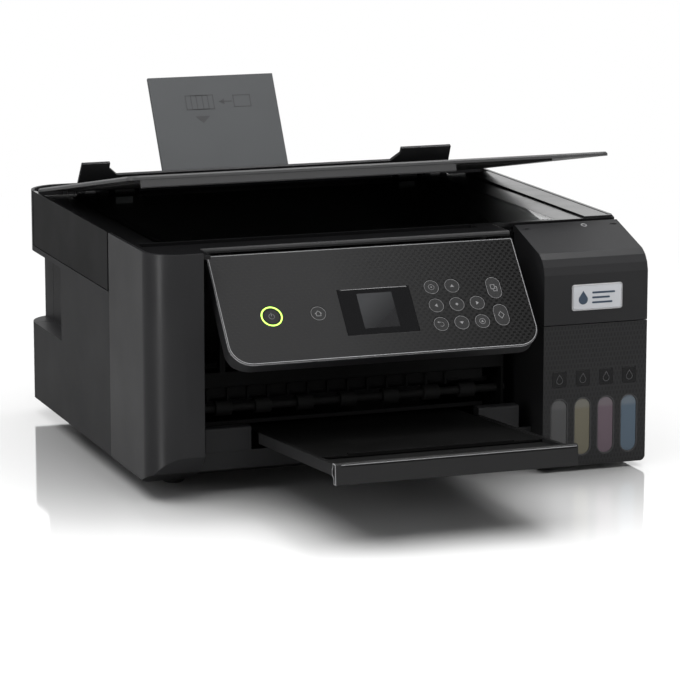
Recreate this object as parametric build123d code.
from build123d import *
import math
import os

# Desktop ink-tank printer with a flatbed scanner, standing ready to print: document lid a little
# open, control panel tilted out, output tray pulled out, rear paper support and its guard raised.
# Modelled with X from the left side, Y from the front face and Z from the desk, in millimetres.
# At the end everything moves so that the origin is under the middle of the whole object.

# ---- driving dimensions -------------------------------------------------------------------
WIDTH, DEPTH, RIM = 375.0, 347.0, 177.0
WALL = 2.5
FRONT_R, REAR_R = 24.0, 27.0
SIDE_BOTTOM, FLOOR_BOTTOM, FLOOR, COLUMN_BOTTOM = 12.0, 9.0, 12.0, 8.0
SPLIT_Z = 134.7              # scanner unit above, lower case below
SEAM_GAP = 0.8
COLUMN_X, COLUMN_Y = 37.5, 108.0
SCANNER_Y0, SCANNER_Y1 = 111.6, 317.0
TANK_X, TANK_Y, TANK_BOTTOM, TANK_SPLIT = 293.5, 80.0, 4.0, 108.6
PAPER_MID = 167.0            # middle of the paper path

# document lid
LID_X0, LID_X1, LID_LENGTH, LID_T = 2.5, 372.5, 250.0, 3.0
LID_AXIS_Y, LID_AXIS_Z = 308.4, 174.0
LID_OPEN = 10.1              # how far it stands open at rest, degrees
GLASS = ((22.0, 328.0), (66.0, 288.0))

# scanner unit
SCANNER_AXIS_Y, SCANNER_AXIS_Z = 314.0, 172.0
DECK_TOP, DECK_BOTTOM, DECK_Y0, TUB_BOTTOM = 175.5, 172.3, 60.2, 140.5
LIP_Y, LIP_X0, LIP_X1 = 26.0, 43.5, 277.0

# control panel
PANEL_TOP = (47.0, 23.7, 171.0)
PANEL_W, PANEL_H, PANEL_TILT = 230.5, 88.8, 40.8
PANEL_R, PANEL_FACE_T = 16.0, 2.0
KEY_COLS, KEY_ROWS, KEY_R = (159.2, 174.9, 190.5), (36.5, 51.6, 66.8), 5.6
KEY_TRAVEL = 0.6

# output tray
TRAY_X0, TRAY_X1, TRAY_SLOPE = 80.0, 249.0, 0.075
TRAY_Z, TRAY_REACH = 46.0, 158.0
TRAY_STEP_Y, RAIL_W = -110.0, 3.0

# rear feeder
SUPPORT_LEAN, SUPPORT_FOOT = 30.0, (337.0, 172.0)
GUARD_X0, GUARD_X1, GUARD_LEAN, GUARD_FOOT = 37.0, 347.0, 30.0, (330.0, 172.0)
GUARD_HEIGHT, GUARD_MIDDLE, GUARD_T = 29.5, 17.5, 2.5

# print mechanism
CARRIAGE_Y, CARRIAGE_Z, CARRIAGE_W = (84.0, 138.0), (68.0, 118.0), 62.0
CARRIAGE_HOME = 327.0
FEED_AXIS, EXIT_AXIS, PICK_AXIS = (168.0, 54.0), (62.0, 53.0), (262.0, 98.0)
SHAFT_R, RUN = 3.0, 0.05

# ink tanks, from left to right
TANK_NAMES = ("black", "yellow", "magenta", "cyan")
TANK_FIRST, TANK_PITCH, TANK_W = 306.2, 18.4, 17.0
WINDOW_W, WINDOW_Z = 12.4, (12.0, 54.0)


# ---- helpers ------------------------------------------------------------------------------
def block(x, y, z):
    """Box between pairs of limits."""
    size = (x[1] - x[0], y[1] - y[0], z[1] - z[0])
    return Pos((x[0] + x[1]) / 2, (y[0] + y[1]) / 2, (z[0] + z[1]) / 2) * Box(*size)


def outline(points, plane):
    return plane * make_face(Polyline(*points, close=True))


def along_x(points, x0, x1):
    """Prism with a (y, z) outline from x0 to x1."""
    return extrude(outline(points, Plane.YZ.offset(x0)), x1 - x0)


def along_y(points, y0, y1):
    """Prism with an (x, z) outline from y0 to y1."""
    plane = Plane((0, y0, 0), x_dir=(1, 0, 0), z_dir=(0, -1, 0))
    return extrude(outline(points, plane), -(y1 - y0))


def rod(x0, x1, axis, r):
    """Cylinder along X about a (y, z) axis."""
    return extrude(Plane.YZ.offset(x0) * Pos(*axis) * Circle(r), x1 - x0)


def upright(x, y, z0, z1, r):
    return Pos(x, y, (z0 + z1) / 2) * Cylinder(r, z1 - z0)


def slot_prism(x, z0, z1, width, y0, y1):
    """Round-ended upright slot through Y."""
    plane = Plane((x, y0, (z0 + z1) / 2), x_dir=(1, 0, 0), z_dir=(0, -1, 0))
    return extrude(plane * SlotOverall(z1 - z0, width, rotation=90), -(y1 - y0))


def turn(shape, axis, degrees):
    """Turn about an X-wise (y, z) axis; positive lifts what is in front of it."""
    return shape.rotate(Axis((0, *axis), (-1, 0, 0)), degrees)


def plan(inset, z0, z1):
    """Solid of the body's plan shape, shrunk by inset."""
    corners = ((0, 0, FRONT_R), (WIDTH, 0, 3.0), (WIDTH, DEPTH, REAR_R), (0, DEPTH, REAR_R))
    sharp = block((inset, WIDTH - inset), (inset, DEPTH - inset), (z0, z1))
    for x, y, r in corners:
        edge = sharp.edges().filter_by(Axis.Z).sort_by_distance((x, y, (z0 + z1) / 2))[0]
        sharp = fillet(edge, max(r - inset, 0.4))
    return sharp


def leaning(x, s, t, foot, lean):
    """Slab that leans back: s runs up the slope from foot, t is measured behind its face."""
    flat = block(x, (foot[0] + t[0], foot[0] + t[1]), (foot[1] + s[0], foot[1] + s[1]))
    return turn(flat, foot, lean)


# ---- lower body ---------------------------------------------------------------------------
def bottom_bevels():
    """Wedges taken off the outside bottom edges."""
    drop, run = SIDE_BOTTOM + 1.0, 9.0
    left = along_y([(-1, 0), (run, 0), (run, FLOOR_BOTTOM), (0, drop), (-1, drop)], -1, DEPTH + 1)
    right = mirror(left, Plane.YZ.offset(WIDTH / 2))
    y = DEPTH
    rear_points = [(y + 1, 0), (y - 36, 0), (y - 36, FLOOR_BOTTOM), (y - 14, 13), (y - 4, 22), (y, 34),
                   (y + 1, 34)]
    return left + right + along_x(rear_points, -1, WIDTH + 1)


NOTCH_X, NOTCH_Y, NOTCH_Z = 15.5, 240.0, (73.3, 129.8)


def notch(inset):
    """Stepped recess in the left rear side."""
    low, high = NOTCH_Z
    return block((-1, NOTCH_X + inset), (NOTCH_Y - inset, DEPTH + 1), (low - inset, high + inset))


def body_shell(z0, z1):
    """Hollow lower body, with floor, before it is divided into its mouldings."""
    outside = plan(0, z0, z1) - notch(0) - bottom_bevels()
    inside = plan(WALL, FLOOR, z1 + 1) - notch(WALL)
    rear_ramp = [(0, 0), (DEPTH, 0), (DEPTH, 40), (DEPTH - 7, 30), (DEPTH - 18, 18), (DEPTH - 38, FLOOR)]
    inside = inside - along_x(rear_ramp, 0, WIDTH)
    return outside - inside


def lower_case():
    z1 = SPLIT_Z - SEAM_GAP
    shell = body_shell(FLOOR_BOTTOM, z1)
    walls = shell - block((-1, WIDTH + 1), (319.2, DEPTH + 1), (-1, RIM))
    walls -= block((-1, WIDTH + 1), (-1, COLUMN_Y + 0.4), (-1, RIM))
    floor = block((COLUMN_X + 0.4, TANK_X - 0.4), (50, COLUMN_Y + 0.5), (FLOOR_BOTTOM, FLOOR))
    floor += block((TANK_X - 0.5, WIDTH - 9), (TANK_Y + 0.4, COLUMN_Y + 0.5), (FLOOR_BOTTOM, FLOOR))
    right = block((WIDTH - WALL, WIDTH), (TANK_Y + 0.4, COLUMN_Y + 0.4), (SIDE_BOTTOM + 1, z1))
    right_skirt = block((WIDTH - 9, WIDTH), (TANK_Y + 0.4, COLUMN_Y + 0.4), (FLOOR_BOTTOM, 15))
    right_skirt -= bottom_bevels()
    profile = [(20.3, 31), (20.3, 18), (50, FLOOR_BOTTOM), (60, FLOOR_BOTTOM), (60, FLOOR), (50.5, FLOOR),
               (22.8, 20), (22.8, 31)]
    sill = along_x(profile, COLUMN_X + 0.4, TANK_X - 0.4)
    ledge = block((NOTCH_X, NOTCH_X + WALL), (NOTCH_Y, 319.2), (FLOOR, z1))
    return walls + ledge + floor + right + right_skirt + sill


def rear_cover():
    z0 = FLOOR_BOTTOM
    shell = body_shell(z0, RIM) - block((-1, WIDTH + 1), (-1, 319.8), (-1, RIM + 1))
    shell -= block((9, WIDTH - 9), (300, 338), (-1, FLOOR + 0.5))
    shell -= notch(0)
    # openings for the inlet socket and the data port
    shell -= block((36, 64), (340, DEPTH + 1), (44, 64))
    shell -= block((318, 331), (340, DEPTH + 1), (56, 68))
    # notch that the paper support leans out of
    shell -= block((SUPPORT_X[0] - 1.5, SUPPORT_X[1] + 1.5), (330, DEPTH + 1), (150, RIM + 1))
    return shell.solids().sort_by(SortBy.VOLUME)[-1]


def left_front_column():
    outer = plan(0, COLUMN_BOTTOM, RIM) - block((COLUMN_X, WIDTH + 1), (-1, DEPTH + 1), (0, RIM + 1))
    outer -= block((-1, WIDTH), (COLUMN_Y, DEPTH + 1), (0, RIM + 1))
    inner = plan(WALL, 10.5, RIM + 1) - block((COLUMN_X - WALL, WIDTH), (-1, DEPTH), (0, RIM + 2))
    inner -= block((-1, WIDTH), (COLUMN_Y - WALL, DEPTH + 1), (0, 126))
    undercut = along_x([(-1, 33), (0, 33), (12, 20), (46, 7), (-1, 7)], -1, WIDTH)
    inner_under = along_x([(0, 0), (0, 36.5), (2.4, 36.5), (14, 23.5), (48, 10.5), (48, 0)], -1, WIDTH)
    side_cut = along_y([(-1, 7), (7.5, 7), (7.5, 8), (3, 10), (0, 13), (-1, 13)], -1, DEPTH)
    column = outer - undercut - side_cut
    column -= inner - inner_under
    # the side wall stands back behind the scanner unit's side panel
    liner = block((WALL + 0.5, 2 * WALL), (COLUMN_Y - 6, 118), (SPLIT_Z + 4, 171))
    column += liner + block((0.5, 2 * WALL), (COLUMN_Y - 6, COLUMN_Y - 1), (SPLIT_Z + 4, 171))
    # the scanner deck drops inside the rim
    column -= block((WALL, COLUMN_X + 1), (WALL, COLUMN_Y + 1), (165, RIM + 1)) & plan(WALL, 165, RIM + 1)
    # and its tub reaches over the rear half
    column -= block((2 * WALL + 0.1, COLUMN_X + 1), (56, COLUMN_Y + 1), (TUB_BOTTOM - 3, RIM + 1))
    return column


def front_sill_guard(x0, x1):
    shape = block((x0, x1), (20.0, 30.0), (30.6, 48.0))
    return fillet(shape.edges().filter_by(Axis.X).group_by(Axis.Z)[-1], 1.5)


def feet():
    places = ((36, 72, COLUMN_BOTTOM), (WIDTH - 36, 94, FLOOR_BOTTOM), (36, 290, FLOOR_BOTTOM),
              (WIDTH - 36, 290, FLOOR_BOTTOM))
    made = []
    for x, y, height in places:
        foot = Cylinder(8, height)
        made.append(Pos(x, y, height / 2) * chamfer(foot.edges().group_by(Axis.Z)[0], 1))
    return made


# ---- ink tank unit ------------------------------------------------------------------------
def tank_x(i):
    return TANK_FIRST + i * TANK_PITCH


COVER_AXIS, COVER_END_R = (54.5, 169.3), 5.2
COVER_POST_X = (297.5, 367.0)
CAP_AXIS = (53.5, 109.7)
COVER_OUT = [(0, TANK_SPLIT + 0.6), (0, 145.5), (1.6, 151.5), (5.2, 156.6), (10.5, 160.2)]
COVER_OUT += [(COVER_AXIS[0] + COVER_END_R * math.cos(math.radians(a)),
               COVER_AXIS[1] + COVER_END_R * math.sin(math.radians(a))) for a in (72, 45, 20, 0)]


def tank_case():
    outer = block((TANK_X, WIDTH), (0, TANK_Y), (TANK_BOTTOM, TANK_SPLIT))
    outer += block((TANK_X, WIDTH), (58, TANK_Y), (TANK_SPLIT - 1, SPLIT_Z - SEAM_GAP))
    inner = block((TANK_X + WALL, WIDTH - WALL), (WALL, TANK_Y - WALL), (TANK_BOTTOM + WALL, RIM))
    corner = outer.edges().filter_by(Axis.Y).sort_by_distance((WIDTH, TANK_Y / 2, TANK_BOTTOM))[0]
    case = fillet(corner, 4) - inner
    for i in range(len(TANK_NAMES)):
        case -= slot_prism(tank_x(i), *WINDOW_Z, WINDOW_W, -1, WALL + 1)
    # posts that carry the cover's hinge pin
    for x, wall_x in zip(COVER_POST_X, (TANK_X + WALL, WIDTH - WALL)):
        case += along_x([(49.5, 102), (56.5, 102), (56.5, 171.0), (53.5, 171.0), (50.5, 168)], x, x + 4)
        case += block((min(x, wall_x), max(x + 4, wall_x)), (49.5, 56.5), (102, TANK_SPLIT - 0.6))
        for axis in (COVER_AXIS, CAP_AXIS):
            case -= rod(x - 1, x + 5, axis, 1.2)
    return case


def tank_cover():
    back = [(57, 168.6), (57, TANK_SPLIT + 0.6)]
    t = WALL
    inside = [(t, TANK_SPLIT), (t, 145), (4, 150.4), (7.2, 154.4), (11.5, 157.5), (57.5, 171.8),
              (57.5, TANK_SPLIT)]
    cover = along_x(COVER_OUT + back, TANK_X, WIDTH) - along_x(inside, TANK_X + t, WIDTH - t)
    for x in (308.0, 355.0):
        ear = along_x([(44, 170), (44, 167), (54.5, 166.4), (57, 168), (56.5, 173), (53, 173)], x, x + 6)
        cover += ear & along_x(COVER_OUT + back, x, x + 6)
        cover -= rod(x - 1, x + 7, COVER_AXIS, 1.2 + RUN)
    for x in COVER_POST_X:
        cover -= block((x - 0.5, x + 4.5), (48.5, 61), (165, 172.2))
    return cover


def ink_tank(i):
    x = tank_x(i)
    tank = block((x - TANK_W / 2, x + TANK_W / 2), (WALL + 0.4, TANK_Y - 4), (8, 100))
    tank = fillet(tank.edges().filter_by(Axis.Z), 2)
    nose = slot_prism(x, WINDOW_Z[0] + 0.3, WINDOW_Z[1] - 0.3, WINDOW_W - 0.6, 0.5, WALL + 1)
    neck = upright(x, 30, 99, 108, 5.5) - upright(x, 30, 98, 109, 3.2)
    tank += nose + neck
    return tank - block((x - 7, x + 7), (6, TANK_Y - 7.5), (11, 97))


def ink_cap(i):
    x = tank_x(i)
    lid = upright(x, 30, 108.4, 113, 7.4) + block((x - 4, x + 4), (34, 52), (108.4, 111))
    knuckle = rod(x - 4, x + 4, CAP_AXIS, 2.6)
    return lid + knuckle - rod(x - 5, x + 5, CAP_AXIS, 1.2 + RUN)


def cap_hinge_rod():
    return rod(TANK_X + WALL, WIDTH - WALL, CAP_AXIS, 1.2)


# ---- scanner unit -------------------------------------------------------------------------
def scanner_housing():
    (gx0, gx1), (gy0, gy1) = GLASS
    deck = plan(WALL + 0.8, DECK_BOTTOM, DECK_TOP) & block((0, WIDTH), (0, SCANNER_Y1 - 16), (0, RIM))
    deck -= block((LIP_X0, LIP_X1 + 1), (-1, LIP_Y), (0, RIM))
    deck -= block((LIP_X1, WIDTH + 1), (-1, DECK_Y0), (0, RIM))
    tub = block((14, WIDTH - 14), (DECK_Y0 + 0.8, 302), (TUB_BOTTOM, DECK_TOP - 1))
    left = block((0, WALL), (SCANNER_Y0, SCANNER_Y1), (SPLIT_Z, RIM))
    left += block((WALL - 0.1, 15), (SCANNER_Y0 + 14, 302), (166, DECK_TOP))
    right = block((WIDTH - WALL, WIDTH), (84, SCANNER_Y1), (SPLIT_Z, RIM))
    front_end = [(84, SPLIT_Z), (84, RIM), (66, RIM), (DECK_Y0, 175.2), (DECK_Y0, SPLIT_Z)]
    right += along_x(front_end, WIDTH - WALL, WIDTH)
    right += block((WIDTH - 15, WIDTH - WALL + 0.1), (DECK_Y0, 302), (166, DECK_TOP))
    # raised shelf along the right side of the lid's recess
    shelf = [(350, DECK_TOP - 1), (352, RIM - 0.3), (WIDTH - 1, RIM - 0.3), (WIDTH - 1, DECK_TOP - 1)]
    right += along_y(shelf, 62, 296)
    housing = deck + tub + left + right
    # slope that clears the back of the tank cover as the unit lifts
    slope = [(59, 171), (59, 130), (63.4, 130), (60.3, 168)]
    housing -= along_x(slope, TANK_X - 2, WIDTH + 1)
    housing -= block((18, WIDTH - 24), (66, 298), (TUB_BOTTOM + WALL, 171.5))
    housing -= block((gx0 - 0.1, gx1 + 0.1), (gy0 - 0.1, gy1 + 0.1), (172.7, RIM))
    housing -= block((gx0 + 3, gx1 - 3), (gy0 + 3, gy1 - 3), (170, RIM))
    # finger recess under the lid's front lip, with its floor
    housing += block((6, 264), (47, 66), (167.6, DECK_BOTTOM + 0.1))
    housing -= block((8, 262), (49, 63.6), (169.6, RIM))
    for x in HINGE_X:
        housing -= block((x - 12.4, x + 12.4), (297.9, 330), (161.8, RIM + 1))
    for lug in scanner_lugs():
        housing += lug
    return housing


def scan_glass():
    (gx0, gx1), (gy0, gy1) = GLASS
    return block((gx0, gx1), (gy0, gy1), (172.7, DECK_TOP))


HINGE_X = (70.0, 305.0)
POST_X = (44.0, 331.0)          # posts of the lower case that carry the scanner unit


def lid_hinge_brackets():
    """Two brackets on the scanner unit, each a foot with two cheeks around the lid's knuckle."""
    made = []
    for x in HINGE_X:
        foot = block((x - 12, x + 12), (299, 312), (158, 164))
        for a, b in ((x - 12, x - 8), (x + 8, x + 12)):
            cheek = block((a, b), (302, 309.6), (162, LID_AXIS_Z))
            cheek += rod(a, b, (LID_AXIS_Y, LID_AXIS_Z), 2.8)
            foot += cheek
        made.append(foot - rod(x - 13, x + 13, (LID_AXIS_Y, LID_AXIS_Z), 1.5))
    return made


def lid_hinge_pins():
    return [rod(x - 12, x + 12, (LID_AXIS_Y, LID_AXIS_Z), 1.5) for x in HINGE_X]


def lid():
    """Drawn shut, then opened to the angle it stands at."""
    front = LID_AXIS_Y - LID_LENGTH
    low = RIM + 0.25
    plate = block((LID_X0, LID_X1), (front, LID_AXIS_Y + 2.5), (low, low + LID_T))
    corners = plate.edges().filter_by(Axis.Z).group_by(Axis.Y)[0]
    plate = fillet(corners, 7)
    plate = chamfer(plate.edges().group_by(Axis.Z)[-1], 1.2)
    grip = along_x([(front + 0.4, low + 0.5), (front + 0.4, 172.2), (front + 1.2, 171.4),
                    (front + 3.0, 171.4), (front + 4.2, low + 0.5)], 12, 250)
    plate += grip
    for x in HINGE_X:
        arm = block((x - 7.7, x + 7.7), (LID_AXIS_Y - 5, LID_AXIS_Y + 2.4), (LID_AXIS_Z, low + 0.5))
        arm += rod(x - 7.7, x + 7.7, (LID_AXIS_Y, LID_AXIS_Z), 2.8)
        plate += arm
        plate -= rod(x - 9, x + 9, (LID_AXIS_Y, LID_AXIS_Z), 1.5 + RUN)
    # notches that clear the scanner unit's pivots as the lid opens
    for x in POST_X:
        plate -= block((x - 9.8, x + 9.8), (LID_AXIS_Y - 1.6, LID_AXIS_Y + 6), (low - 1, low + LID_T + 1))
    return turn(plate, (LID_AXIS_Y, LID_AXIS_Z), LID_OPEN)


def lid_mat():
    (gx0, gx1), (gy0, gy1) = GLASS
    mat = block((gx0 - 1, gx1 + 1), (gy0 + 1, gy1 + 4), (RIM - 1.2, RIM + 0.25))
    return turn(mat, (LID_AXIS_Y, LID_AXIS_Z), LID_OPEN)


def scan_bar():
    """Contact image sensor carriage with its rod bearing."""
    bar = block((24, 42), (70, 284), (152, 168))
    block_y = block((22, 44), (166, 186), (146, 153))
    lens = block((31, 35), (72, 282), (168, 170.5))
    return bar + block_y - rod(20, 46, (176, 150), 2.5 + RUN) + lens


def scan_rod():
    return rod(18, WIDTH - 24, (176, 150), 2.5)


def belt_loop(x0, x1, r, t, y0, y1, z):
    """Closed flat belt in the XZ plane, around two wheels of radius r at x0 and x1."""
    plane = Plane(((x0 + x1) / 2, y0, z), x_dir=(1, 0, 0), z_dir=(0, -1, 0))
    run = x1 - x0
    outer = extrude(plane * SlotCenterToCenter(run, 2 * (r + t)), -(y1 - y0))
    return outer - extrude(plane * SlotCenterToCenter(run, 2 * r), -(y1 - y0))


def wheel_y(x, z, r, y0, y1, bore):
    """Small wheel about an axis along Y, with a plain bore."""
    plane = Plane((x, y0, z), x_dir=(1, 0, 0), z_dir=(0, -1, 0))
    return extrude(plane * (Circle(r) - Circle(bore)), -(y1 - y0))


def scanner_posts():
    """Two posts that rise from the floor of the lower case and hold the scanner unit's pivots."""
    made = []
    profile = [(303, FLOOR), (316, FLOOR), (316, 134), (319, 170), (309, 172), (304, 134)]
    for x in POST_X:
        post = along_x(profile, x - 4, x + 4) + rod(x - 4, x + 4, (SCANNER_AXIS_Y, SCANNER_AXIS_Z), 5)
        made.append(post - rod(x - 5, x + 5, (SCANNER_AXIS_Y, SCANNER_AXIS_Z), 2.0 + RUN))
    return made


def scanner_pins():
    """Pivot pins, held by a lug of the scanner unit on each side of a post."""
    return [rod(x - 9, x + 9, (SCANNER_AXIS_Y, SCANNER_AXIS_Z), 2.0) for x in POST_X]


def scanner_lugs():
    lugs = []
    for x in POST_X:
        for a, b in ((x - 9, x - 4.6), (x + 4.6, x + 9)):
            lug = block((a, b), (300, SCANNER_AXIS_Y), (SCANNER_AXIS_Z - 3.5, SCANNER_AXIS_Z + 3.2))
            lug += rod(a, b, (SCANNER_AXIS_Y, SCANNER_AXIS_Z), 3.8)
            lugs.append(lug - rod(a - 1, b + 1, (SCANNER_AXIS_Y, SCANNER_AXIS_Z), 2.0))
    return lugs


# ---- control panel ------------------------------------------------------------------------
def panel_plane():
    """Plane of the panel's face: x along it, y up its slope, z out of it; origin at its top left."""
    t = math.radians(PANEL_TILT)
    return Plane(PANEL_TOP, x_dir=(1, 0, 0), z_dir=(0, -math.cos(t), math.sin(t)))


def on_panel(shape):
    return panel_plane() * shape


def slab(u, v, w):
    """Box on the panel: u from its left edge, v down from its top edge, w out of its face."""
    return block(u, (-v[1], -v[0]), w)


def disc(u, v, w0, w1, r):
    return Pos(u, -v, (w0 + w1) / 2) * Cylinder(r, w1 - w0)


def pill(u, v, w0, w1, length, width):
    return extrude(Plane((u, -v, w0)) * SlotOverall(length, width, rotation=90), w1 - w0)


PANEL_AXIS = (30.2, 168.2)
ROUND_KEYS = {
    "key_help": (0, 0), "key_up": (1, 0), "key_left": (0, 1), "key_ok": (1, 1), "key_right": (2, 1),
    "key_back": (0, 2), "key_down": (1, 2), "key_stop": (2, 2),
}
PILLS = {"key_copy": (206.0, 40.3), "key_start": (206.0, 62.7)}
POWER_AT, HOME_AT = (36.4, 51.6), (70.8, 51.6)
PILL_L, PILL_W, POWER_R, RING_R = 17.6, 11.0, 5.4, 8.0
LCD_U, LCD_V = (88.2, 142.4), (34.0, 71.4)


def panel_outline(inset, w0, w1):
    shape = slab((inset, PANEL_W - inset), (inset, PANEL_H - inset), (w0, w1))
    low = shape.edges().filter_by(Axis.Z).group_by(Axis.Y)[0]
    return fillet(low, PANEL_R - inset)


def key_spots():
    """Every key as name, u, v and the hole it works in."""
    spots = [("key_power", *POWER_AT, POWER_R, 0), ("key_home", *HOME_AT, KEY_R, 0)]
    spots += [(name, KEY_COLS[c], KEY_ROWS[r], KEY_R, 0) for name, (c, r) in ROUND_KEYS.items()]
    spots += [(name, u, v, PILL_W / 2, PILL_L) for name, (u, v) in PILLS.items()]
    return spots


def key_shape(u, v, r, length, w0, w1, grow):
    if length:
        return pill(u, v, w0, w1, length + 2 * grow, 2 * (r + grow))
    return disc(u, v, w0, w1, r + grow)


def panel_housing():
    """Wedge-shaped back shell, thin at the pivot and deep at the bottom edge."""
    wedge = along_x([(-4, 0), (-4, -2.1), (-PANEL_H, -2.1), (-PANEL_H, -10.5), (-PANEL_H + 6, -12.5),
                     (-22, -12.5), (-4, -5.5)], 0, PANEL_W)
    wedge = wedge & panel_outline(0, -20, -PANEL_FACE_T)
    inside = [(-9, 2), (-9, -4.5), (-23, -10.6), (-PANEL_H + 6, -10.6), (-PANEL_H + WALL, -9.2),
              (-PANEL_H + WALL, 2)]
    hollow = along_x(inside, WALL, PANEL_W - WALL) & panel_outline(WALL, -20, 2)
    shell = wedge - hollow
    for x in PANEL_ARM_X:
        u = x - PANEL_TOP[0]
        shell -= slab((u + 3.4, u + 9), (2.3, 24), (-20, -PANEL_FACE_T - 0.1))
    made = on_panel(shell)
    profile = [(24.2, 168.0), (20.3, 163.4), (22.6, 161.4), (31, 165.4), (31, 170.6), (26, 170.6)]
    for x in PANEL_ARM_X:
        arm = along_x(profile, x - 3, x + 3)
        arm += rod(x - 3, x + 3, PANEL_AXIS, 2.9)
        made += arm
        made -= rod(x - 4, x + 4, PANEL_AXIS, 1.5)
    return made


PANEL_ARM_X = (60.0, 264.0)


def panel_pivots():
    return [rod(x - 3, x + 8, PANEL_AXIS, 1.5) for x in PANEL_ARM_X]


def panel_face():
    face = panel_outline(0, -PANEL_FACE_T, 0)
    for _, u, v, r, length in key_spots():
        face -= key_shape(u, v, r, length, -3, 1, 0.2)
    face -= disc(*POWER_AT, -3, 1, RING_R)
    face -= slab(LCD_U, LCD_V, (-3, 1))
    return on_panel(face)


def power_ring():
    ring = disc(*POWER_AT, -PANEL_FACE_T, 0, RING_R) - disc(*POWER_AT, -3, 1, POWER_R + 0.2)
    return on_panel(ring)


def lcd_module():
    return on_panel(slab(LCD_U, LCD_V, (-5.0, -0.15)))


def panel_board():
    return on_panel(slab((24, 216), (28, 78), (-8.2, -6.7)))


def key(u, v, r, length):
    cap = key_shape(u, v, r, length, -4.2, -0.1, 0)
    flange = key_shape(u, v, r, length, -4.2, -3.4, 1.0)
    return on_panel(cap + flange)


# ---- output tray --------------------------------------------------------------------------
def sloping(shape):
    """Lay a tray piece drawn level on its slope, which rises towards the front."""
    return shape.rotate(Axis((0, 0, TRAY_Z), (-1, 0, 0)), math.degrees(math.atan(TRAY_SLOPE)))


def tray_main():
    """Flat plate that lies between the rails of the extension."""
    top = TRAY_Z
    plate = block((TRAY_X0 + RAIL_W + 0.4, TRAY_X1 - RAIL_W - 0.4), (TRAY_STEP_Y, 60), (top - 2.2, top - 0.6))
    stiffener = block((TRAY_X0 + 24, TRAY_X1 - 24), (TRAY_STEP_Y, TRAY_STEP_Y + 4), (top - 0.7, top + 0.2))
    return sloping(plate + stiffener)


def tray_extension():
    """Shallow channel with raised rails along its sides and a lip that stops the paper."""
    top = TRAY_Z
    y0 = -TRAY_REACH
    body = block((TRAY_X0, TRAY_X1), (y0 + 4, 10), (top - 6.2, top - 2.7))
    for a in (TRAY_X0, TRAY_X1 - RAIL_W):
        body += block((a, a + RAIL_W), (y0 + 4, 10), (top - 8, top))
    profile = [(y0, top - 12.5), (y0, top + 1.2), (y0 + 1.5, top + 2), (y0 + 5, top + 2), (y0 + 5, top - 0.5),
               (y0 + 7, top - 2.7), (y0 + 7, top - 6.2), (y0 + 4, top - 8.5), (y0 + 4, top - 12.5)]
    return sloping(body + along_x(profile, TRAY_X0 - 2.5, TRAY_X1 + 2.5))


# ---- rear feeder --------------------------------------------------------------------------
SUPPORT_X = (PAPER_MID - 113.0, PAPER_MID + 113.0)
EXT_W, EXT_TOP = 105.0, 95.0
GUIDE_TRAVEL, GUIDE_T, GUIDE_SLOT_S = (46.0, 106.0), 2.0, (-84.0, -56.0)
PINION_TEETH, PINION_S = 16, -70.0
RACK_W = (-4.5, -2.8)         # thickness of the racks, measured out of the hopper's face


def feed_hopper():
    """Fixed sloping plate that the paper stack leans on, open behind for the sliding support."""
    x0, x1 = SUPPORT_X
    plate = leaning((x0, x1), (-84, 2), (0, 2.5), SUPPORT_FOOT, SUPPORT_LEAN)
    for a, b in ((x0, x0 + 3), (x1 - 3, x1)):
        plate += leaning((a, b), (-84, 2), (0, 9.5), SUPPORT_FOOT, SUPPORT_LEAN)
        plate += leaning((min(a, b - 3), max(b, a + 3)), (-84, 2), (0, 9.5), SUPPORT_FOOT, SUPPORT_LEAN)
    inner, outer = GUIDE_TRAVEL
    for side in (-1, 1):
        ends = sorted((PAPER_MID + side * (inner - 1), PAPER_MID + side * (outer + GUIDE_T + 1)))
        plate -= leaning(ends, GUIDE_SLOT_S, (-1, 4), SUPPORT_FOOT, SUPPORT_LEAN)
    return plate


def paper_support():
    x0, x1 = SUPPORT_X
    board = leaning((x0 + 3.5, x1 - 3.5), (-46, 13), (3.0, 9.2), SUPPORT_FOOT, SUPPORT_LEAN)
    pocket = (PAPER_MID - EXT_W / 2 - 0.4, PAPER_MID + EXT_W / 2 + 0.4)
    return board - leaning(pocket, (-47, 14), (4.7, 8.0), SUPPORT_FOOT, SUPPORT_LEAN)


def support_extension():
    """Narrow board that slides out of the support, with its top corners cut."""
    x0, x1 = PAPER_MID - EXT_W / 2, PAPER_MID + EXT_W / 2
    board = leaning((x0, x1), (-18, EXT_TOP), (4.9, 7.8), SUPPORT_FOOT, SUPPORT_LEAN)
    for edge_x in (x0, x1):
        corner = board.edges().sort_by_distance((edge_x, SUPPORT_FOOT[0] + 60, SUPPORT_FOOT[1] + 110))[0]
        if abs(corner.length - 2.9) < 0.01:
            board = fillet(corner, 4)
    return board


def feeder_guard():
    y, z = GUARD_FOOT
    upright_ = [(GUARD_X0, z), (GUARD_X0 + 1.5, z + GUARD_HEIGHT), (GUARD_X0 + 24, z + GUARD_HEIGHT),
                (GUARD_X0 + 24, z + GUARD_MIDDLE + 7), (GUARD_X0 + 31, z + GUARD_MIDDLE),
                (GUARD_X1 - 51, z + GUARD_MIDDLE), (GUARD_X1 - 44, z + GUARD_MIDDLE + 7),
                (GUARD_X1 - 44, z + GUARD_HEIGHT), (GUARD_X1 - 1.5, z + GUARD_HEIGHT), (GUARD_X1, z)]
    shape = along_y(upright_, y - GUARD_T, y)
    shape = turn(shape, (y, z), -GUARD_LEAN)
    barrel = rod(GUARD_X0, GUARD_X1, (y - 0.6, z), 2.2)
    return shape + barrel - rod(GUARD_X0 - 1, GUARD_X1 + 1, (y - 0.6, z), 1.2 + RUN)


def guard_rod():
    y, z = GUARD_FOOT
    return rod(GUARD_X0 - 6, GUARD_X1 + 6, (y - 0.6, z), 1.2)


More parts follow.
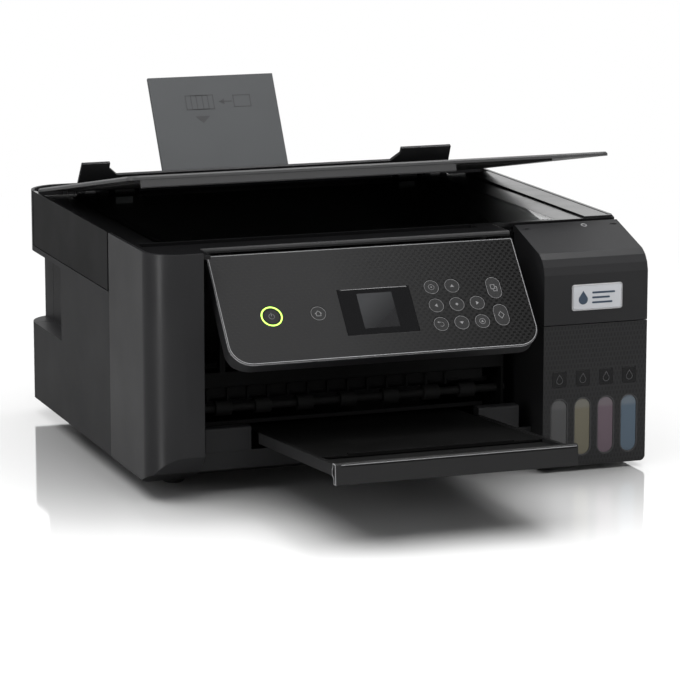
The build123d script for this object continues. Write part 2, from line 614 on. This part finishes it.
def guard_lugs():
    """Two lugs on the rear cover that hold the guard's rod."""
    y, z = GUARD_FOOT
    lugs = []
    for a, b in ((GUARD_X0 - 6, GUARD_X0 - 1), (GUARD_X1 + 1, GUARD_X1 + 6)):
        lug = block((a, b), (y - 4, DEPTH - WALL), (z - 4, z + 3.5))
        lugs.append(lug - rod(a - 1, b + 1, (y - 0.6, z), 1.2))
    return lugs


# ---- gears --------------------------------------------------------------------------------
PRESSURE = math.radians(20)
BACKLASH = 0.24


def involute(angle):
    return math.tan(angle) - angle


def gear_points(teeth, module, phase):
    """Closed outline of an involute gear; at phase 0 a tooth points along the first axis."""
    pitch_r, out_r = module * teeth / 2, module * (teeth + 1.9) / 2
    root_r = module * (teeth - 2.6) / 2
    base_r = pitch_r * math.cos(PRESSURE)
    half_pitch = math.pi / (2 * teeth) - BACKLASH / (2 * pitch_r)
    start = max(base_r, root_r)
    steps = 5
    flank = []
    for i in range(steps + 1):
        r = start + (out_r - start) * i / steps
        flank.append((r, half_pitch + involute(PRESSURE) - involute(math.acos(min(1, base_r / r)))))
    if root_r < base_r:
        flank.insert(0, (root_r, flank[0][1]))
    tooth = [(r, -a) for r, a in flank] + [(r, a) for r, a in reversed(flank)]
    points = []
    for k in range(teeth):
        middle = phase + 2 * math.pi * k / teeth
        points += [(r * math.cos(middle + a), r * math.sin(middle + a)) for r, a in tooth]
    return points


def gear_x(x0, x1, axis, teeth, module, bore, phase=0.0):
    """Spur gear about an X-wise (y, z) axis."""
    points = [(axis[0] + u, axis[1] + v) for u, v in gear_points(teeth, module, phase)]
    gear = along_x(points, x0, x1)
    return gear - rod(x0 - 1, x1 + 1, axis, bore) if bore else gear


def guide_plane():
    """Plane of the hopper's face: x across the paper, y up the slope, z out towards the paper."""
    lean = math.radians(SUPPORT_LEAN)
    return Plane((PAPER_MID, *SUPPORT_FOOT), x_dir=(1, 0, 0), z_dir=(0, -math.cos(lean), math.sin(lean)))


def edge_guide(side):
    """Fin that stands on the hopper's face; its foot goes through a slot to a rack behind."""
    outer = GUIDE_TRAVEL[1]
    module = 1.0
    pitch_s = PINION_S - side * module * PINION_TEETH / 2
    low, high = sorted((pitch_s - side * 1.3, pitch_s - side * 4.5))
    fin = block((outer, outer + GUIDE_T), (low, -6), (0.4, 8))
    bar = block((-10, outer + GUIDE_T), (low, high), RACK_W)
    foot = block((outer, outer + GUIDE_T), (low, high), (RACK_W[0], 8))
    shape = fin + bar + foot
    half = math.pi * module / 4 - BACKLASH / 2
    slope = math.tan(PRESSURE)
    root, tip = pitch_s - side * 1.35, pitch_s + side * 0.9
    for k in range(-3, 24):
        x = (k + 0.5) * math.pi * module
        corners = [(x - half - 1.35 * slope, root), (x - half + 0.9 * slope, tip),
                   (x + half - 0.9 * slope, tip), (x + half + 1.35 * slope, root)]
        tooth = make_face(Polyline(*corners, close=True))
        shape += extrude(Plane((0, 0, RACK_W[0])) * tooth, RACK_W[1] - RACK_W[0])
    shape = shape & block((-10, outer + GUIDE_T), (-90, 0), (-6, 10))
    if side < 0:
        return guide_plane() * mirror(shape, Plane.YZ)
    return guide_plane() * shape


def guide_pinion():
    points = gear_points(PINION_TEETH, 1.0, math.pi / 2)
    gear = extrude(Plane((0, 0, -4.4)) * make_face(Polyline(*points, close=True)), 1.5)
    gear = Pos(0, PINION_S, 0) * gear
    gear -= Pos(0, PINION_S, -3) * Cylinder(1.5 + RUN, 8)
    return guide_plane() * gear


def pinion_stud():
    return guide_plane() * (Pos(0, PINION_S, -3.5) * Cylinder(1.5, 2.0))


# ---- print mechanism ----------------------------------------------------------------------
FRAME_LEFT, FRAME_RIGHT, FRAME_T = 46.0, 282.0, 2.0


def side_frame(x):
    """Upright steel plate, low under the carriage and high behind it."""
    outline_ = [(52, FLOOR), (215, FLOOR), (215, 118), (150, 118), (150, 64), (76, 64), (76, 84), (52, 84)]
    plate = along_x(outline_, x, x + FRAME_T)
    for axis, r in ((FEED_AXIS, SHAFT_R), (EXIT_AXIS, SHAFT_R)):
        plate -= rod(x - 1, x + FRAME_T + 1, axis, r + RUN)
    return plate


def front_beam():
    """Cross beam over the paper exit."""
    profile = [(48, 71.5), (60, 71.5), (60, 74), (50.5, 74), (50.5, 82), (48, 82)]
    beam = along_x(profile, FRAME_LEFT + FRAME_T, FRAME_RIGHT)
    # arms that carry the control panel's pivots
    arm = [(48, 76), (54, 76), (54, 160), (38, 171), (27.4, 171), (27.4, 165.6), (38, 163.4), (48, 150)]
    for x in PANEL_ARM_X:
        beam += along_x(arm, x + 4, x + 8)
        beam -= rod(x + 3, x + 9, PANEL_AXIS, 1.5)
    return beam


def carriage_rail():
    profile = [(144, 78), (145.5, 78), (145.5, 126), (150, 126), (150, 127.5), (144, 127.5)]
    rail = along_x(profile, FRAME_LEFT, 364)
    for x in (FRAME_LEFT, FRAME_RIGHT):
        rail += block((x, x + FRAME_T), (145.4, 150), (108, 116))
    return rail


def carriage():
    x0, x1 = CARRIAGE_HOME - CARRIAGE_W / 2, CARRIAGE_HOME + CARRIAGE_W / 2
    (y0, y1), (z0, z1) = CARRIAGE_Y, CARRIAGE_Z
    shell = block((x0, x1), (y0, y1), (z0, z1))
    shell = fillet(shell.edges().filter_by(Axis.Z), 3)
    shell -= block((x0 + 2.5, x1 - 2.5), (y0 + 2.5, y1 - 2.5), (z0 + 24, z1 + 1))
    shell += block((x0 + 8, x1 - 8), (y1 - 0.5, 143.6), (86, 112))
    shell -= block((CARRIAGE_HOME - 23, CARRIAGE_HOME + 23), (y0 + 5, y1 - 16), (z0 - 1, z0 + 3))
    return shell


def print_head():
    y0, y1 = CARRIAGE_Y[0] + 5, CARRIAGE_Y[1] - 16
    z0 = CARRIAGE_Z[0]
    head = block((CARRIAGE_HOME - 23, CARRIAGE_HOME + 23), (y0, y1), (z0 - 3, z0 + 3))
    return chamfer(head.edges().group_by(Axis.Z)[0], 1)


def damper_block():
    """Four small ink dampers that stand in the carriage."""
    z0 = CARRIAGE_Z[0] + 24
    made = None
    for i in range(len(TANK_NAMES)):
        x = CARRIAGE_HOME - 21 + i * 14
        one = block((x - 6, x + 6), (92, 130), (z0, z0 + 18)) + upright(x, 124, z0 + 17, z0 + 23, 2)
        made = one if made is None else made + one
    return made


BELT_Z, BELT_R, BELT_X0, BELT_X1 = 100.0, 5.0, 58.0, 354.0


def carriage_belt():
    return belt_loop(BELT_X0, BELT_X1, BELT_R + 0.05, 1.0, 146.3, 149.5, BELT_Z)


def carriage_pulley(x):
    return wheel_y(x, BELT_Z, BELT_R, 146.4, 149.4, 1.5)


def carriage_motor():
    plane = Plane((BELT_X1, 151, BELT_Z), x_dir=(1, 0, 0), z_dir=(0, -1, 0))
    return extrude(plane * Circle(12.5), -24)


def pulley_shaft(x, y1):
    plane = Plane((x, 145.6, BELT_Z), x_dir=(1, 0, 0), z_dir=(0, -1, 0))
    return extrude(plane * Circle(1.5), -(y1 - 145.6))


def roller(axis, r, pads, x0, x1):
    """Steel shaft with rubber sleeves; pads are (x0, x1) pairs."""
    shaft = rod(x0, x1, axis, SHAFT_R)
    sleeves = [rod(a, b, axis, r) - rod(a - 1, b + 1, axis, SHAFT_R) for a, b in pads]
    return shaft, sleeves


ROLLER_X0, ROLLER_X1 = 40.0, 288.0


def feed_roller_parts():
    return roller(FEED_AXIS, 5.5, ((56, 274),), ROLLER_X0, ROLLER_X1)


def exit_roller_parts():
    pads = [(x - 6, x + 6) for x in (70, 100, 132, 165, 198, 230, 258)]
    return roller(EXIT_AXIS, 5.5, pads, ROLLER_X0, ROLLER_X1)


FEED_TEETH, MOTOR_TEETH = 48, 12
MOTOR_AXIS = (FEED_AXIS[0] + (FEED_TEETH + MOTOR_TEETH) / 2, FEED_AXIS[1])


def feed_gear():
    return gear_x(41, 45, FEED_AXIS, FEED_TEETH, 1.0, SHAFT_R, 0.0)


def motor_pinion():
    return gear_x(41.2, 44.8, MOTOR_AXIS, MOTOR_TEETH, 1.0, 1.5, math.pi / MOTOR_TEETH + math.pi)


def feed_motor():
    return rod(FRAME_LEFT + FRAME_T, 74, MOTOR_AXIS, 13)


def motor_shaft():
    return rod(41, FRAME_LEFT, MOTOR_AXIS, 1.5)


def platen():
    plate = block((50, 280), (74, 158), (56, 59))
    for k in range(15):
        x = 58 + k * 15.3
        plate += block((x, x + 1.6), (78, 154), (58.9, 61.5))
    return plate


def star_wheel_bar():
    bar = block((FRAME_LEFT + FRAME_T, 268), (54, 71), (62.5, 70))
    bar -= block((52, 264), (56.5, 69), (61, 68.5))
    return bar


STAR_AXIS = (62.0, 63.4)


def star_wheels():
    """Toothed discs on one thin shaft, resting over the exit roller."""
    shaft = rod(51, 265, STAR_AXIS, 0.8)
    points = [(STAR_AXIS[0] + (4.0 if k % 2 else 3.3) * math.cos(math.pi * k / 12),
               STAR_AXIS[1] + (4.0 if k % 2 else 3.3) * math.sin(math.pi * k / 12)) for k in range(24)]
    wheels = shaft
    for x in (70, 100, 132, 165, 198, 230, 258):
        for dx in (-3, 2):
            wheels += along_x(points, x + dx, x + dx + 1)
    return wheels


def exit_shelf():
    profile = [(44, 44.6), (54, 44.0), (54, 45.6), (46, 46.4), (46, 47.2), (44, 47.2)]
    return along_x(profile, FRAME_LEFT + FRAME_T, 264)


def pinch_holder():
    """Sprung cover above the feed roller that holds small idler rollers."""
    outline_ = [(156, 66), (184, 63), (190, 70), (184, 76), (160, 74)]
    return along_x(outline_, FRAME_LEFT + FRAME_T, FRAME_RIGHT)


def pickup_roller():
    shaft = rod(75.5, 240, PICK_AXIS, SHAFT_R)
    drum = rod(PAPER_MID - 16, PAPER_MID + 16, PICK_AXIS, 14)
    return shaft, drum - rod(0, WIDTH, PICK_AXIS, SHAFT_R)


def pickup_posts():
    made = []
    for x in (76.0, 230.0):
        post = block((x, x + 4), (254, 270), (FLOOR, 106))
        made.append(post - rod(x - 1, x + 5, PICK_AXIS, SHAFT_R + RUN))
    return made


def feed_chute():
    """Curved floor that turns the sheet from the hopper towards the feed roller."""
    outer = [(288, 88), (276, 76), (256, 66), (230, 60), (200, 56.5), (176, 55.5)]
    lower = [(y, z - 2.0) for y, z in reversed(outer)]
    return along_x(outer + lower, 82, 228)


def maintenance_station():
    box = block((297, 357), (87, 131), (FLOOR, 60))
    box -= block((300, 354), (90, 128), (FLOOR + 3, 61))
    return box


def cap_pad():
    pad = block((303, 351), (91, 123), (57, 62)) - block((306, 348), (94, 120), (59, 63))
    return pad + block((299.9, 354.1), (100, 112), (57, 58.5)) - block((306, 348), (94, 120), (59, 63))


def waste_pad():
    return block((300, 356), (190, 296), (FLOOR, 30))


def power_supply():
    box = block((20, 74), (226, 298), (FLOOR, 56))
    return fillet(box.edges().filter_by(Axis.Z), 2)


def power_inlet():
    body = block((36, 64), (326, DEPTH - 1), (44, 64))
    return body - block((40, 60), (330, DEPTH), (48, 60))


def data_port():
    body = block((318, 331), (332, DEPTH - 1), (56, 68))
    return body - block((320.5, 328.5), (336, DEPTH), (58, 66))


def main_board():
    board = block((362, 363.6), (184, 300), (34, 122))
    for y, z, size in ((196, 84, 16), (230, 56, 24), (272, 92, 12)):
        board += block((359.5, 362.1), (y, y + size), (z, z + size))
    return board


def ink_tubes():
    """Four soft tubes from the tanks to a clip above the carriage rail."""
    tubes = []
    high = 135.6
    for i in range(len(TANK_NAMES)):
        x, y = tank_x(i), 154.0 + 4 * i
        path = FilletPolyline((x, 66, 100), (x, 66, high), (x, y, high), (178, y, high), radius=8)
        ring = Plane((x, 66, 100)) * Circle(1.4)
        tubes.append(sweep(ring, path=path))
    return tubes


def tube_clip():
    return block((168, 178), (145.6, 170), (127.5, 138.5))


def encoder_strip():
    return block((60, 352), (142.3, 142.6), (119, 125)) + block((57, 60), (142.3, 144), (117, 127)) + \
        block((352, 355), (142.3, 144), (117, 127))


# ---- list of parts ------------------------------------------------------------------------
def as_solids(shape):
    shapes = shape if isinstance(shape, (list, tuple)) else [shape]
    return [solid for one in shapes for solid in one.solids()]


def joined(first, *others):
    for shape in others:
        for one in shape if isinstance(shape, (list, tuple)) else [shape]:
            first = first + one
    return first


def hinge_rods():
    """Plain steel rods that stay with the lower body."""
    covers = [rod(297.5, 315, COVER_AXIS, 1.2), rod(354, 371, COVER_AXIS, 1.2)]
    return covers + [cap_hinge_rod(), guard_rod(), pinion_stud()] + panel_pivots()


def build_nodes():
    """Every separate piece by name."""
    feed_shaft, feed_sleeve = feed_roller_parts()
    exit_shaft, exit_sleeves = exit_roller_parts()
    pick_shaft, pick_drum = pickup_roller()
    nodes = {
        "lower_case": joined(lower_case(), front_sill_guard(COLUMN_X + 6.5, 78.0),
                             front_sill_guard(251.5, 283.0), scanner_posts(), pickup_posts()),
        "rear_cover": joined(rear_cover(), guard_lugs()),
        "left_front_column": left_front_column(),
        "rubber_feet": feet(),
        "hinge_rods": hinge_rods(),
        "tank_case": tank_case(),
        "tank_cover": tank_cover(),
        "scanner_housing": joined(scanner_housing(), lid_hinge_brackets()),
        "scanner_glass": scan_glass(),
        "scanner_rods": scanner_pins() + lid_hinge_pins() + [scan_rod()],
        "document_lid": lid(),
        "lid_mat": lid_mat(),
        "scan_bar": scan_bar(),
        "panel_housing": panel_housing(),
        "panel_face": [panel_face(), power_ring()],
        "lcd_module": [lcd_module(), panel_board()],
        "output_tray": tray_main(),
        "tray_extension": tray_extension(),
        "feed_hopper": [feed_hopper(), feed_chute()],
        "paper_support": paper_support(),
        "support_extension": support_extension(),
        "feeder_guard": feeder_guard(),
        "edge_guide_left": edge_guide(-1),
        "edge_guide_right": edge_guide(1),
        "guide_pinion": guide_pinion(),
        "print_chassis": [side_frame(FRAME_LEFT), side_frame(FRAME_RIGHT), front_beam(), carriage_rail(),
                          exit_shelf(), pinch_holder(), encoder_strip()],
        "ink_carriage": [carriage(), print_head(), damper_block()],
        "carriage_belt": carriage_belt(),
        "carriage_pulley": [carriage_pulley(BELT_X1), pulley_shaft(BELT_X1, 151)],
        "drive_motors": [carriage_motor(), feed_motor()],
        "platen": platen(),
        "feed_roller": [feed_shaft, *feed_sleeve, feed_gear()],
        "motor_pinion": [motor_pinion(), motor_shaft()],
        "exit_roller": [exit_shaft, *exit_sleeves],
        "star_wheel_bar": [star_wheel_bar(), star_wheels()],
        "pickup_roller": [pick_shaft, pick_drum],
        "maintenance_station": [maintenance_station(), cap_pad(), waste_pad()],
        "main_board": [main_board(), data_port()],
        "power_supply": [power_supply(), power_inlet()],
        "ink_tubes": ink_tubes() + [tube_clip()],
    }
    for i, name in enumerate(TANK_NAMES):
        nodes["ink_tank_" + name] = ink_tank(i)
        nodes["ink_cap_" + name] = ink_cap(i)
    for name, u, v, r, length in key_spots():
        nodes[name] = key(u, v, r, length)
    return nodes


def main():
    os.makedirs("parts", exist_ok=True)
    made = {name: as_solids(shape) for name, shape in build_nodes().items()}
    box = Compound([s for solids in made.values() for s in solids]).bounding_box()
    shift = Pos(-WIDTH / 2, -box.center().Y, 0)
    print("nodes", len(made), "shift", -WIDTH / 2, round(-box.center().Y, 4))
    for name, solids in made.items():
        print(name, len(solids))
    for name, solids in made.items():
        placed = [shift * s for s in solids]
        whole = placed[0] if len(placed) == 1 else Compound(placed)
        whole.label = name
        export_step(whole, f"parts/{name}.step")


if __name__ == "__main__":
    main()
